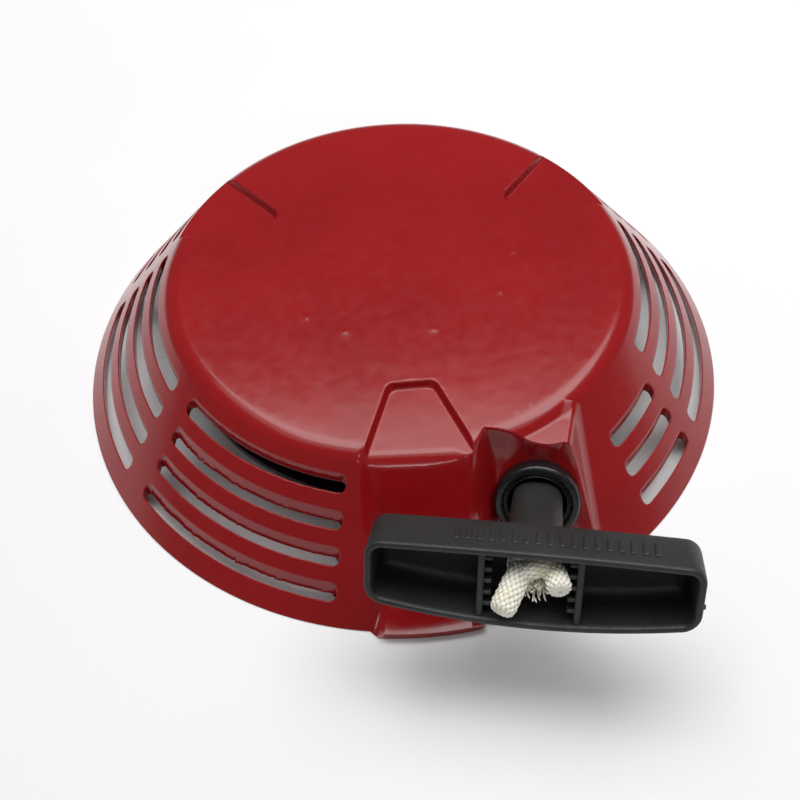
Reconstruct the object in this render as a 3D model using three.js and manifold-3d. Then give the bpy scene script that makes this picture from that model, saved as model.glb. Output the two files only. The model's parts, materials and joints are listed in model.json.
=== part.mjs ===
// Recoil starter for a small single-cylinder engine.
// Millimetres, +Z up. The origin is on the reel's axis, in the plane of the
// housing's rim, which is the face that seats on the engine's blower cover.
import * as THREE from 'three';
import { mergeVertices } from 'three/addons/utils/BufferGeometryUtils.js';
import Module from 'manifold-3d';

const wasm = await Module();
wasm.setup();

// ---------------------------------------------------------------- dimensions
const DEG = Math.PI / 180;
const GAP = 0.3;

// housing: a flat round top on a slotted cone
const RIM_R = 115;
const TOP_Z = 45;
const CONE_SLOPE = 1.233;
const TOP_FLAT_R = 74.5;
const TOP_FILLET = 8.4;
const WALL = 2.6;

// cooling slots: four rows round the cone, in six long groups and one short
const SLOT_ROWS = [85.3, 92.8, 100.3, 107.8];
const SLOT_WIDTH = 3.6;
const SLOT_GROUPS = 6;
const SLOT_START = 336.3;
const SLOT_SPAN = 41.8;
const SLOT_PITCH = 47.87;
const SLOT_STEP = 7;
const SHORT_START = 315.4;
const SHORT_SPAN = 16.9;

// three recessed pads on the top, with a threaded foot inside below each
const PAD_ANGLES = [273, 33, 153];
const PAD_DEPTH = 2.6;
const FOOT_R = 95;
const FOOT_POST_R = 6.5;
const FOOT_HOLE_R = 2.5;
const FOOT_HOLE_DEPTH = 13;

// sunken front panel and the ledge at its base
const PANEL_X = [-12.4, 26];
const PANEL_TOP = [-79.5, 41.5];
const PANEL_FOOT = [-106, 3];
const LEDGE_X = [-10.6, 22.5];
const LEDGE_Y = -116.3;
const LEDGE_Z = 3;

// pull axis: the rope leaves the guide forwards, upwards and a little left
const PULL_TURN = 10 * DEG;
const PULL_RISE = 27 * DEG;
const GUIDE_FACE = [39.9, -86.2, 24.9];
const COLLAR_HEIGHT = 5.5;
const BOX_TOP_Z = 42;
const BOX_X = [26, 62];

// rope guide
const COLLAR_R = 12.5;
const COLLAR_BORE_R = 9.3;
const BARREL_R = 9.8;
const BARREL_LENGTH = 4.6;
const ROPE_R = 2.6;
const ROPE_HOLE_R = 3.1;

// centre post, sleeve and screw
const POST_R = 6.5;
const POST_END_Z = 6.6;
const WASHER_Z = [4.9, 6.2];
const SCREW_HEAD_Z = 1.2;
const SLEEVE_R = 7.6;
const SCREW_R = 2.9;

// reel
const REEL_BORE_R = 8;
const REEL_R = 77.5;
const REEL_UPPER_R = 73;
const REEL_CORE_R = 44;
const REEL_Z = [16, 18.6, 26.8, 28.8];
const HUB_R = 11;
const HUB_TOP_Z = 40.5;
const ROPE_OUTER_R = 63;

// recoil spring and its cup
const CUP_R = 40.5;
const CUP_Z = [29.8, 42.1];
const SPRING_Z = [30.1, 40.6];
const SPRING_R = [12.2, 38.6];
const SPRING_TURNS = 7;
const SPRING_STRIP = 0.8;

// pawls, their pins and springs
const PAWL_R = 31;
const PAWL_Z = [11, 15.4];
const PAWL_ARM = 22;
const PAWL_EYE_R = 5.6;
const PIN_R = 2.2;
const PIN_HOLE_R = 2.5;

// cam plate under the pawls; a finger's place is [radius, degrees]
const CAM_Z = [6.6, 9];
const CAM_R = 31;
const FINGER_R = 1.8;
const FINGER_AT = [28.5, 60.8];

// handle: local X along the grip, Y across it, Z along the pull
const PULL_TO_FACE = 46.4;
const GRIP_ROLL = -2.4 * DEG;
const GRIP = { length: 92, end: 21, middle: 24.2, depth: 17 };
const GRIP_WALL = 2.4;
const CROSS_WALLS = [-14.2, 12.8];
const CROSS_WALL = 1.8;
const POCKET_DEPTH = 13.6;
const NECK_R = [6.9, 9];
const NECK_REACH = 2.6;

// ----------------------------------------------------------------- materials
function paint(color, roughness, metalness) {
  return new THREE.MeshStandardMaterial({ color, roughness, metalness });
}
const redEnamel = () => paint(0x9b1e20, 0.2, 0.1);
const blackPlastic = () => paint(0x242424, 0.55, 0);
const reelPlastic = () => paint(0x1c1c1e, 0.5, 0);
const springSteel = () => paint(0x8d9096, 0.35, 0.9);
const zincSteel = () => paint(0xb9bcc0, 0.3, 0.9);
const darkSteel = () => paint(0x55575b, 0.45, 0.85);
const ropeNylon = () => paint(0xe1dcc8, 0.85, 0);

// --------------------------------------------------------------- small tools
function solid(geometry) {
  const bare = geometry.clone();
  bare.deleteAttribute('normal');
  bare.deleteAttribute('uv');
  const merged = mergeVertices(bare, 1e-4);
  return new wasm.Manifold(new wasm.Mesh({
    numProp: 3,
    vertProperties: merged.attributes.position.array,
    triVerts: Uint32Array.from(merged.index.array),
  }));
}

function geometryOf(manifold) {
  const mesh = manifold.getMesh();
  const geometry = new THREE.BufferGeometry();
  geometry.setAttribute('position', new THREE.BufferAttribute(mesh.vertProperties, 3));
  geometry.setIndex(new THREE.BufferAttribute(mesh.triVerts, 1));
  geometry.computeVertexNormals();
  return geometry;
}

function part(name, shape, material) {
  const geometry = shape.isBufferGeometry ? shape : geometryOf(shape);
  const mesh = new THREE.Mesh(geometry, material);
  mesh.name = name;
  return mesh;
}

// a solid of revolution about Z from points [radius, height]
function turned(points, segments = 32) {
  const profile = points.map(([r, z]) => new THREE.Vector2(r, z));
  const geometry = new THREE.LatheGeometry(profile, segments);
  geometry.rotateX(Math.PI / 2);
  return geometry;
}

function closedRing(points, segments = 32) {
  return turned([...points, points[0]], segments);
}

function tube(rIn, rOut, z0, z1, segments = 32) {
  return closedRing([[rIn, z0], [rOut, z0], [rOut, z1], [rIn, z1]], segments);
}

function rod(r, z0, z1, segments = 24) {
  const geometry = new THREE.CylinderGeometry(r, r, z1 - z0, segments);
  geometry.rotateX(Math.PI / 2);
  geometry.translate(0, 0, (z0 + z1) / 2);
  return geometry;
}

function block(x, y, z) {
  const geometry = new THREE.BoxGeometry(x[1] - x[0], y[1] - y[0], z[1] - z[0]);
  geometry.translate((x[0] + x[1]) / 2, (y[0] + y[1]) / 2, (z[0] + z[1]) / 2);
  return geometry;
}

function plate(shape, z0, z1, curveSegments = 8) {
  const depth = z1 - z0;
  const geometry = new THREE.ExtrudeGeometry(shape, { depth, bevelEnabled: false, curveSegments });
  geometry.translate(0, 0, z0);
  return geometry;
}

function outline(points) {
  return new THREE.Shape(points.map(([x, y]) => new THREE.Vector2(x, y)));
}

function roundTube(curve, radius, steps, sides = 8) {
  const ring = new THREE.Shape();
  ring.absarc(0, 0, radius, 0, Math.PI * 2);
  return new THREE.ExtrudeGeometry(ring, {
    steps, extrudePath: curve, bevelEnabled: false, curveSegments: sides / 2,
  });
}

// a thick slab that fills the space beyond a frame's XY plane
function slab(frame, thickness, reach) {
  const geometry = block([-reach, reach], [-reach, reach], [0, thickness]);
  geometry.applyMatrix4(frame);
  return geometry;
}

function frameAt(origin, xAxis, zAxis) {
  const z = zAxis.clone().normalize();
  const y = new THREE.Vector3().crossVectors(z, xAxis).normalize();
  const x = new THREE.Vector3().crossVectors(y, z);
  const frame = new THREE.Matrix4().makeBasis(x, y, z);
  return frame.setPosition(origin.x, origin.y, origin.z);
}

function polar(r, degrees) {
  return [r * Math.cos(degrees * DEG), r * Math.sin(degrees * DEG)];
}

// ------------------------------------------------------------- pull geometry
const pull = new THREE.Vector3(
  -Math.sin(PULL_TURN) * Math.cos(PULL_RISE),
  -Math.cos(PULL_TURN) * Math.cos(PULL_RISE),
  Math.sin(PULL_RISE),
);
const guideFace = new THREE.Vector3(...GUIDE_FACE);
const guideFrame = frameAt(guideFace, new THREE.Vector3(1, 0, 0), pull);
const wallFrame = frameAt(
  guideFace.clone().addScaledVector(pull, -COLLAR_HEIGHT),
  new THREE.Vector3(1, 0, 0),
  pull,
);
const handleFrame = frameAt(
  guideFace.clone().addScaledVector(pull, PULL_TO_FACE),
  new THREE.Vector3(1, 0, 0),
  pull,
).multiply(new THREE.Matrix4().makeRotationZ(GRIP_ROLL));

// ------------------------------------------------------------------- housing
function conePoint(z, inset) {
  return [RIM_R - inset - z / CONE_SLOPE, z];
}

// profile of the outside (inset 0) or of the inside (inset WALL)
function shellProfile(inset) {
  const lean = Math.atan(CONE_SLOPE);
  const sideInset = inset / Math.sin(lean);
  const fillet = TOP_FILLET - inset;
  const points = [[0, TOP_Z - inset]];
  const steps = 3;
  for (let i = 0; i <= steps; i += 1) {
    const a = Math.PI / 2 - (lean * i) / steps;
    const r = TOP_FLAT_R + fillet * Math.cos(a);
    points.push([r, TOP_Z - TOP_FILLET + fillet * Math.sin(a)]);
  }
  points.push(conePoint(0, sideInset));
  return points;
}

function solidOf(inset, floor) {
  const profile = shellProfile(inset).reverse();
  const rimR = profile[0][0];
  if (floor < 0) profile.unshift([rimR, floor]);
  return solid(turned([[0, floor], ...profile], 60));
}

function arcPoints([x, y], r, a0, a1, steps) {
  return Array.from({ length: steps }, (_, i) => {
    const a = a0 + ((a1 - a0) * i) / steps;
    return [x + r * Math.cos(a), y + r * Math.sin(a)];
  });
}

// a curved slot with round ends, of a given span in degrees
function slotShape(r, start, span) {
  const half = SLOT_WIDTH / 2;
  const cap = half / r;
  const a0 = start * DEG + cap;
  const a1 = (start + span) * DEG - cap;
  const steps = Math.ceil(span / SLOT_STEP);
  const end = [r * Math.cos(a1), r * Math.sin(a1)];
  const begin = [r * Math.cos(a0), r * Math.sin(a0)];
  return outline([
    ...arcPoints([0, 0], r + half, a0, a1, steps),
    ...arcPoints(end, half, a1, a1 + Math.PI, 4),
    ...arcPoints([0, 0], r - half, a1, a0, steps),
    ...arcPoints(begin, half, a0 + Math.PI, a0 + 2 * Math.PI, 4),
  ]);
}

function slotCutters() {
  const cutters = [];
  for (let group = 0; group < SLOT_GROUPS; group += 1) {
    for (const r of SLOT_ROWS) {
      const start = SLOT_START + group * SLOT_PITCH;
      cutters.push(solid(plate(slotShape(r, start, SLOT_SPAN), -5, TOP_Z + 5)));
    }
  }
  for (const r of SLOT_ROWS.slice(1)) {
    cutters.push(solid(plate(slotShape(r, SHORT_START, SHORT_SPAN), -5, TOP_Z + 5)));
  }
  return cutters;
}

// trapezoid pocket that opens at the edge of the top
function padShape(margin) {
  const inner = [50.4 - margin, 7.4 + margin];
  const outer = [90, 22.4 + margin];
  return outline([
    [inner[0], -inner[1]], [outer[0], -outer[1]],
    [outer[0], outer[1]], [inner[0], inner[1]],
  ]);
}

function padSolid(margin, z0, z1, degrees) {
  const geometry = plate(padShape(margin), z0, z1);
  geometry.rotateZ(degrees * DEG);
  return solid(geometry);
}

// everything in front of the sunken panel, moved back by an inset
function panelCut(inset) {
  const [y1, z1] = PANEL_TOP;
  const [y0, z0] = PANEL_FOOT;
  const run = new THREE.Vector2(y1 - y0, z1 - z0).normalize();
  const back = new THREE.Vector2(run.y, -run.x).multiplyScalar(inset);
  const at = (z) => y0 + back.x + ((z - z0 - back.y) * (y1 - y0)) / (z1 - z0);
  const lowZ = inset > 0 ? -1 : LEDGE_Z;
  const side = outline([[at(lowZ), lowZ], [at(60), 60], [-140, 60], [-140, lowZ]]);
  const geometry = plate(side, PANEL_X[0] - inset, PANEL_X[1] + inset);
  geometry.applyMatrix4(new THREE.Matrix4().makeBasis(
    new THREE.Vector3(0, 1, 0), new THREE.Vector3(0, 0, 1), new THREE.Vector3(1, 0, 0),
  ));
  return solid(geometry);
}

// the rope box: a flat roof, a front wall square to the pull, a sloping side
function boxSolid(inset) {
  const roof = BOX_TOP_Z - inset;
  const x = [BOX_X[0] + inset, BOX_X[1]];
  let box = solid(block(x, [-125, -40], [-1, roof]));
  box = box.subtract(solid(slab(wallFrame, 200, 200).translate(
    -pull.x * inset, -pull.y * inset, -pull.z * inset,
  )));
  const side = new THREE.Vector3(0.93, -0.08, 0.37).normalize();
  const edge = new THREE.Vector3(53.6, -66, BOX_TOP_Z).addScaledVector(side, -inset);
  return box.subtract(solid(slab(frameAt(edge, new THREE.Vector3(0, 0, 1), side), 200, 200)));
}

// everything in front of the rope wall, over the wall's own width
function ropeWallCut(inset) {
  const lowZ = inset > 0 ? -3 : LEDGE_Z;
  const width = solid(block([BOX_X[0] - inset, 90], [-140, -40], [lowZ, 60]));
  const front = slab(wallFrame, 200, 200).translate(
    -pull.x * inset, -pull.y * inset, -pull.z * inset,
  );
  return width.intersect(solid(front));
}

function footPost(degrees) {
  const geometry = rod(FOOT_POST_R, 0, 40, 20);
  geometry.translate(...polar(FOOT_R, degrees), 0);
  return solid(geometry);
}

function footHole(degrees) {
  const geometry = rod(FOOT_HOLE_R, -1, FOOT_HOLE_DEPTH, 16);
  geometry.translate(...polar(FOOT_R, degrees), 0);
  return solid(geometry);
}

function alongPull(geometry) {
  return geometry.applyMatrix4(guideFrame);
}

function housing() {
  let outer = solidOf(0, 0).subtract(panelCut(0)).subtract(ropeWallCut(0));
  outer = outer.add(boxSolid(0).intersect(solid(block([0, 90], [-125, -40], [0, 60]))));
  outer = outer.add(solid(block(LEDGE_X, [LEDGE_Y, -100], [0, LEDGE_Z])));
  for (const degrees of PAD_ANGLES) {
    outer = outer.subtract(padSolid(0, TOP_Z - PAD_DEPTH, TOP_Z + 5, degrees));
  }
  let inner = solidOf(WALL, -2).subtract(panelCut(WALL)).subtract(ropeWallCut(WALL));
  inner = inner.add(boxSolid(WALL));
  for (const degrees of PAD_ANGLES) {
    inner = inner.subtract(padSolid(WALL, TOP_Z - PAD_DEPTH - WALL, TOP_Z + 5, degrees));
  }
  let shell = outer.subtract(inner);
  for (const cutter of slotCutters()) shell = shell.subtract(cutter);
  for (const degrees of PAD_ANGLES) {
    shell = shell.add(footPost(degrees).intersect(outer));
    shell = shell.subtract(footHole(degrees));
  }
  shell = shell.add(solid(rod(POST_R, POST_END_Z, TOP_Z - 1, 24)));
  shell = shell.subtract(solid(rod(SCREW_R + GAP, POST_END_Z - 1, 30, 16)));
  const bore = alongPull(rod(BARREL_R + GAP, -COLLAR_HEIGHT - 12, 1, 24));
  shell = shell.subtract(solid(bore));
  return part('housing', shell, redEnamel());
}

// ---------------------------------------------------------------- rope guide
function ropeGuide() {
  const seat = -COLLAR_HEIGHT + GAP;
  const end = -COLLAR_HEIGHT - BARREL_LENGTH;
  const bush = closedRing([
    [COLLAR_BORE_R, 0], [COLLAR_BORE_R, -4.2], [ROPE_HOLE_R + 0.6, -6.4],
    [ROPE_HOLE_R + 0.6, end + 2.2], [BARREL_R - 2.4, end], [BARREL_R, end],
    [BARREL_R, seat], [COLLAR_R, seat], [COLLAR_R, -1.2], [COLLAR_R - 1.2, 0],
  ], 28);
  return part('rope_guide', alongPull(bush), blackPlastic());
}

function guideClip() {
  const back = -COLLAR_HEIGHT - WALL - GAP;
  const clip = tube(BARREL_R + GAP, BARREL_R + 2.1, back - 1.4, back, 28);
  return part('guide_clip', alongPull(clip), springSteel());
}

// ---------------------------------------------------------------- reel parts
function reel() {
  const [low, lowTop, highBottom, high] = REEL_Z;
  const profile = [
    [REEL_BORE_R, low], [13, low], [13, low + 8], [24.5, low + 8], [24.5, low],
    [REEL_R, low], [REEL_R, lowTop], [REEL_CORE_R, lowTop], [REEL_CORE_R, highBottom],
    [REEL_UPPER_R, highBottom], [REEL_UPPER_R, high], [HUB_R, high],
    [HUB_R, HUB_TOP_Z], [REEL_BORE_R, HUB_TOP_Z],
  ];
  let body = solid(closedRing(profile, 48));
  for (const sign of [1, -1]) {
    const hole = rod(PIN_HOLE_R, low - 1, low + 7, 16);
    hole.translate(0, sign * PAWL_R, 0);
    body = body.subtract(solid(hole));
  }
  const anchor = rod(3.4, low - 1, lowTop + 1, 16);
  anchor.translate(-49, 0, 0);
  return part('reel', body.subtract(solid(anchor)), reelPlastic());
}

function ropeWinding() {
  const r0 = REEL_CORE_R + 0.4;
  const [z0, z1] = [REEL_Z[1] + 0.4, REEL_Z[2] - 0.4];
  const profile = [
    [r0, z0], [ROPE_OUTER_R - 1.5, z0], [ROPE_OUTER_R, z0 + 2],
    [ROPE_OUTER_R, z1 - 2], [ROPE_OUTER_R - 1.5, z1], [r0, z1],
  ];
  return part('rope_winding', closedRing(profile, 40), ropeNylon());
}

function anchorKnot() {
  const knot = new THREE.SphereGeometry(4.4, 14, 10);
  knot.scale(1, 1, 0.75);
  knot.translate(-49, 0, REEL_Z[0] - 3.6);
  return part('rope_anchor_knot', knot, ropeNylon());
}

// ------------------------------------------------------------- recoil spring
function springStrip() {
  const steps = SPRING_TURNS * 18;
  const edge = (offset) => (i) => {
    const t = i / steps;
    const r = SPRING_R[0] + (SPRING_R[1] - SPRING_R[0]) * t + offset;
    const a = t * SPRING_TURNS * 2 * Math.PI;
    return [r * Math.cos(a), r * Math.sin(a)];
  };
  const count = Array.from({ length: steps + 1 }, (_, i) => i);
  const points = [...count.map(edge(SPRING_STRIP)), ...count.reverse().map(edge(0))];
  return part('recoil_spring', plate(outline(points), ...SPRING_Z), springSteel());
}

function springCup() {
  const [z0, z1] = CUP_Z;
  const cup = closedRing([
    [CUP_R - 0.8, z0], [CUP_R, z0], [CUP_R, z1], [9.5, z1], [9.5, z1 - 0.8],
    [CUP_R - 0.8, z1 - 0.8],
  ], 40);
  return part('spring_cup', cup, zincSteel());
}

function springCover() {
  const cover = tube(HUB_R + 0.6, CUP_R - 1.2, REEL_Z[3] + 0.4, REEL_Z[3] + 0.9, 40);
  return part('spring_cover', cover, zincSteel());
}

// --------------------------------------------------- post, sleeve and screws
function spindleSleeve() {
  return part('spindle_sleeve', tube(POST_R + GAP, SLEEVE_R, POST_END_Z + GAP, 41, 28), zincSteel());
}

function screwWasher() {
  return part('screw_washer', tube(SCREW_R + 0.4, 13, ...WASHER_Z, 28), zincSteel());
}

function centreScrew() {
  const flangeTop = WASHER_Z[0] - GAP;
  let screw = solid(rod(SCREW_R, flangeTop - 1, 29.5, 20));
  screw = screw.add(solid(rod(6.4, SCREW_HEAD_Z, flangeTop, 6)));
  screw = screw.add(solid(rod(7.6, flangeTop - 1, flangeTop, 24)));
  return part('centre_screw', screw, zincSteel());
}

// --------------------------------------------------------------------- pawls
function pawlShape() {
  const shape = new THREE.Shape();
  shape.absarc(0, 0, PAWL_EYE_R, 80 * DEG, 285 * DEG, false);
  shape.lineTo(PAWL_ARM - 3, -3.2);
  shape.lineTo(PAWL_ARM, 0.5);
  shape.lineTo(PAWL_ARM + 1, 5.2);
  shape.lineTo(PAWL_ARM - 4, 4);
  const eye = new THREE.Path();
  eye.absarc(0, 0, PIN_HOLE_R, 0, 2 * Math.PI, true);
  shape.holes.push(eye);
  return shape;
}

function onPawlPivot(geometry, index) {
  geometry.translate(0, PAWL_R, 0);
  geometry.rotateZ(index * Math.PI);
  return geometry;
}

function pawl(index) {
  const body = onPawlPivot(plate(pawlShape(), ...PAWL_Z, 10), index);
  return part(`pawl_${index + 1}`, body, darkSteel());
}

function pawlPin(index) {
  const shank = rod(PIN_R, PAWL_Z[0] - 1, REEL_Z[0] + 6.6, 18);
  const head = rod(3.9, PAWL_Z[0] - 1.5, PAWL_Z[0] - GAP, 18);
  const pin = geometryOf(solid(shank).add(solid(head)));
  return part(`pawl_pin_${index + 1}`, onPawlPivot(pin, index), zincSteel());
}

// hairpin of wire that lies under the pawl and pulls it in
function pawlSpring(index) {
  const route = [[-9.5, -7.4], [-9, -1], [-7.4, 5], [0, 8], [9, 7], [16, 6.2]];
  const z = PAWL_Z[0] - 0.7;
  const wire = new THREE.CatmullRomCurve3(route.map(([x, y]) => new THREE.Vector3(x, y, z)));
  const body = onPawlPivot(roundTube(wire, 0.4, 18, 6), index);
  return part(`pawl_spring_${index + 1}`, body, springSteel());
}

// ----------------------------------------------------------------- cam plate
function camPlate() {
  const [z0, z1] = CAM_Z;
  let cam = solid(tube(SLEEVE_R + 0.4, CAM_R, z0, z1, 40));
  for (const sign of [1, -1]) {
    const finger = rod(FINGER_R, z1 - 0.5, PAWL_Z[1] - 0.6, 14);
    const [x, y] = polar(...FINGER_AT);
    finger.translate(sign * x, sign * y, 0);
    cam = cam.add(solid(finger));
    const window = rod(4.6, z0 - 1, z1 + 1, 20);
    window.translate(sign * 18, 0, 0);
    cam = cam.subtract(solid(window));
  }
  return part('cam_plate', cam, zincSteel());
}

function frictionSpring() {
  const [turns, r, z0, z1] = [2.5, 17, CAM_Z[1] + 1, REEL_Z[0] + 7];
  class Helix extends THREE.Curve {
    getPoint(t, target = new THREE.Vector3()) {
      const a = t * turns * 2 * Math.PI;
      return target.set(r * Math.cos(a), r * Math.sin(a), z0 + (z1 - z0) * t);
    }
  }
  return part('friction_spring', roundTube(new Helix(), 0.7, 44, 6), springSteel());
}

// -------------------------------------------------------------- rope, handle
function ropeLead() {
  const z = (REEL_Z[1] + REEL_Z[2]) / 2;
  const entry = guideFace.clone().addScaledVector(pull, -COLLAR_HEIGHT - BARREL_LENGTH - 3);
  const reach = Math.hypot(entry.x, entry.y);
  const leave = Math.atan2(entry.y, entry.x) + Math.acos((ROPE_OUTER_R + 3.2) / reach);
  const start = [(ROPE_OUTER_R + 3.2) * Math.cos(leave), (ROPE_OUTER_R + 3.2) * Math.sin(leave)];
  const route = new THREE.CatmullRomCurve3([
    new THREE.Vector3(...start, z),
    new THREE.Vector3((start[0] * 2 + entry.x) / 3, (start[1] * 2 + entry.y) / 3, z),
    new THREE.Vector3((start[0] + entry.x * 3) / 4, (start[1] + entry.y * 3) / 4, z - 0.6),
    entry,
    guideFace.clone().addScaledVector(pull, -6),
    guideFace.clone().addScaledVector(pull, -NECK_REACH - 0.5),
  ]);
  return part('rope_lead', roundTube(route, ROPE_R, 30, 8), ropeNylon());
}

function gripOutline(inset) {
  const half = GRIP.length / 2 - inset;
  const end = GRIP.end / 2 - inset;
  const bow = GRIP.middle - GRIP.end;
  const corner = 5.5 - inset * 0.6;
  const shape = new THREE.Shape();
  shape.moveTo(-half + corner, -end);
  shape.quadraticCurveTo(0, -end - bow, half - corner, -end);
  shape.absarc(half - corner, -end + corner, corner, -Math.PI / 2, 0, false);
  shape.absarc(half - corner, end - corner, corner, 0, Math.PI / 2, false);
  shape.quadraticCurveTo(0, end + bow, -half + corner, end);
  shape.absarc(-half + corner, end - corner, corner, Math.PI / 2, Math.PI, false);
  shape.absarc(-half + corner, -end + corner, corner, Math.PI, 1.5 * Math.PI, false);
  return shape;
}

function handleGrip() {
  const back = -GRIP.depth;
  const tip = -PULL_TO_FACE - NECK_REACH;
  let grip = solid(plate(gripOutline(0), back, 0, 6));
  const hollow = solid(plate(gripOutline(GRIP_WALL), -POCKET_DEPTH, 1, 6));
  grip = grip.subtract(hollow);
  for (const x of CROSS_WALLS) {
    const wall = block([x - CROSS_WALL / 2, x + CROSS_WALL / 2], [-11, 11], [back + 1, -0.6]);
    grip = grip.add(solid(wall).intersect(solid(plate(gripOutline(1), back, 0, 6))));
    const side = x < 0 ? 1 : -1;
    for (let i = -2; i <= 1; i += 1) {
      const from = x + side * 0.5;
      const to = x + side * 2.6;
      const y = i * 4.2 + 2.1;
      const tooth = block([Math.min(from, to), Math.max(from, to)], [y - 0.6, y + 0.6], [-13, -2.6]);
      grip = grip.add(solid(tooth));
    }
  }
  const neck = turned([[0, tip], [NECK_R[0], tip], [NECK_R[1], back + 0.6], [0, back + 0.6]], 24);
  grip = grip.add(solid(neck));
  grip = grip.subtract(solid(rod(ROPE_R + 0.5, tip - 1, 0, 16)));
  return part('handle_grip', geometryOf(grip).applyMatrix4(handleFrame), blackPlastic());
}

function inHandle(geometry) {
  return geometry.applyMatrix4(handleFrame);
}

function handleRope() {
  const tip = -PULL_TO_FACE - NECK_REACH;
  return part('handle_rope', inHandle(rod(ROPE_R, tip, -POCKET_DEPTH + 2.4, 12)), ropeNylon());
}

function handleWasher() {
  const z = -POCKET_DEPTH + GAP;
  return part('handle_washer', inHandle(tube(ROPE_R + 0.4, 7.5, z, z + 1.3, 24)), zincSteel());
}

function handleKnot() {
  const knot = new THREE.SphereGeometry(5, 16, 12);
  knot.scale(1.25, 1, 0.76);
  knot.translate(0, 3.6, -POCKET_DEPTH + 6.2);
  return part('handle_knot', inHandle(knot), ropeNylon());
}

function ropeEnd(name, from, to, radius) {
  const axis = new THREE.LineCurve3(new THREE.Vector3(...from), new THREE.Vector3(...to));
  return part(name, inHandle(roundTube(axis, radius, 3, 10)), ropeNylon());
}

// ------------------------------------------------------------------ assembly
const starter = new THREE.Group();
starter.name = 'recoil_starter';
starter.add(housing(), ropeGuide(), guideClip());
starter.add(spindleSleeve(), screwWasher(), centreScrew());
starter.add(springCup(), springStrip(), springCover());
starter.add(reel(), ropeWinding(), anchorKnot());
for (const index of [0, 1]) {
  starter.add(pawl(index), pawlPin(index), pawlSpring(index));
}
starter.add(camPlate(), frictionSpring());
starter.add(ropeLead(), handleGrip(), handleRope(), handleWasher(), handleKnot());
starter.add(ropeEnd('rope_end_1', [-4.6, 0.6, -3.2], [-7.2, -3.6, 3.4], 3.4));
starter.add(ropeEnd('rope_end_2', [6.2, 3.2, -3.2], [7.4, 1.8, 1.4], 3.2));

export default starter;
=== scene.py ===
"""Recoil starter: the looks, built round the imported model.

Lengths are millimetres until a mesh is made.
"""
import json
import math

import bpy
import numpy as np
from mathutils import Matrix, Vector
from mathutils.geometry import delaunay_2d_cdt
from mathutils.kdtree import KDTree


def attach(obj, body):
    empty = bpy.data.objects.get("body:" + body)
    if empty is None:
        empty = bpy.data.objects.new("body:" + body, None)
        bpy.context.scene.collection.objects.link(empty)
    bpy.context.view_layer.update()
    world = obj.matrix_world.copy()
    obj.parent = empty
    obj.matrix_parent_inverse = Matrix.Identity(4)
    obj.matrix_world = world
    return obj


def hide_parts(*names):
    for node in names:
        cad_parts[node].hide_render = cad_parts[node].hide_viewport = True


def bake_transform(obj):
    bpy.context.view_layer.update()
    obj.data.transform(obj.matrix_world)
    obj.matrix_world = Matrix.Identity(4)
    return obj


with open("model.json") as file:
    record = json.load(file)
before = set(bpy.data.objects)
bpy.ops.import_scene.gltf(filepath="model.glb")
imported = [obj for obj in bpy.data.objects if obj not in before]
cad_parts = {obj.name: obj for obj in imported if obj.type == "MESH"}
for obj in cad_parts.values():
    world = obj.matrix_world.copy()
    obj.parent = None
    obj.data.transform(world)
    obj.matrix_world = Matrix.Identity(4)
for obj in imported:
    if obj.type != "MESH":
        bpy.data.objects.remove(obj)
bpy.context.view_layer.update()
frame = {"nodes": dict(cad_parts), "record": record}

MM = 0.001
rng = np.random.default_rng(7)

# housing
RIM_R = 115.0
TOP_Z = 45.0
CONE_SLOPE = 1.233
TOP_FLAT_R = 74.5
TOP_FILLET = 8.4
WALL = 2.6
SLOT_ROWS = (85.3, 92.8, 100.3, 107.8)
SLOT_HALF = 1.8
SLOT_GROUPS = [(336.3 + 47.87 * n, 41.8, SLOT_ROWS) for n in range(6)]
SLOT_GROUPS.append((315.4, 16.9, SLOT_ROWS[1:]))
SLOT_EDGE_R = 0.5
PAD_ANGLES = (273.0, 33.0, 153.0)
PAD_DEPTH = 2.6
LEDGE_R = 117.2
LEDGE_X = (-10.9, 22.5)
LEDGE_Z = 3.0
BOX_TOP_Z = 42.0
FOOT_R = 95.0

# the outside's front: panel, rope recess and nose over the guide
FRONT_Y = -60.0
FRONT_X = (-22.0, 75.0)
PANEL_SLOPE = 1.4528
PANEL_FOOT_Y = -106
PANEL_WALL_X = -13.5
PANEL_LEFT_Y = (-117.2, -108, -106, -100, -92, -84, -79)
PANEL_LEFT_X = (-8.9, -5.8, -5.4, -7.2, -9.0, -10.6, -11.8)
RECESS_AT = (40.75, -81.37)
RECESS_Z = 22.4
RECESS_SLOPE = 1.963
NOSE_AT = (44.0, -62.8)
NOSE_R = 12.6

# marks in the casting: each pimple's place and size, and the slots with heavy flash, in group order
PIMPLES = (
    (-17.7, -28.8, 1.5), (10.9, -29.5, 1.9), (34.0, -13.7, 1.5), (40.1, 5.0, 1.6), (-31.0, -22.0, 1.2),
)
FLASHED = (21, 22, 23)

# rows of mesh points laid along the round edges that catch the light
SLOT_RING_OFFSETS = (0.07, 0.19, 0.34, 0.52)
FILLET_RING_R = (74.4, 74.7, 75.3, 76.0, 76.7, 77.4, 78.1, 78.8, 79.5, 80.1, 80.6, 81.0, 81.3)
FILLET_RING_COUNT = 520
BOSS_ROWS_FROM = 11.9
BOSS_ROWS_WIDE = 2.0
BOSS_ROW_COUNT = 15

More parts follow.
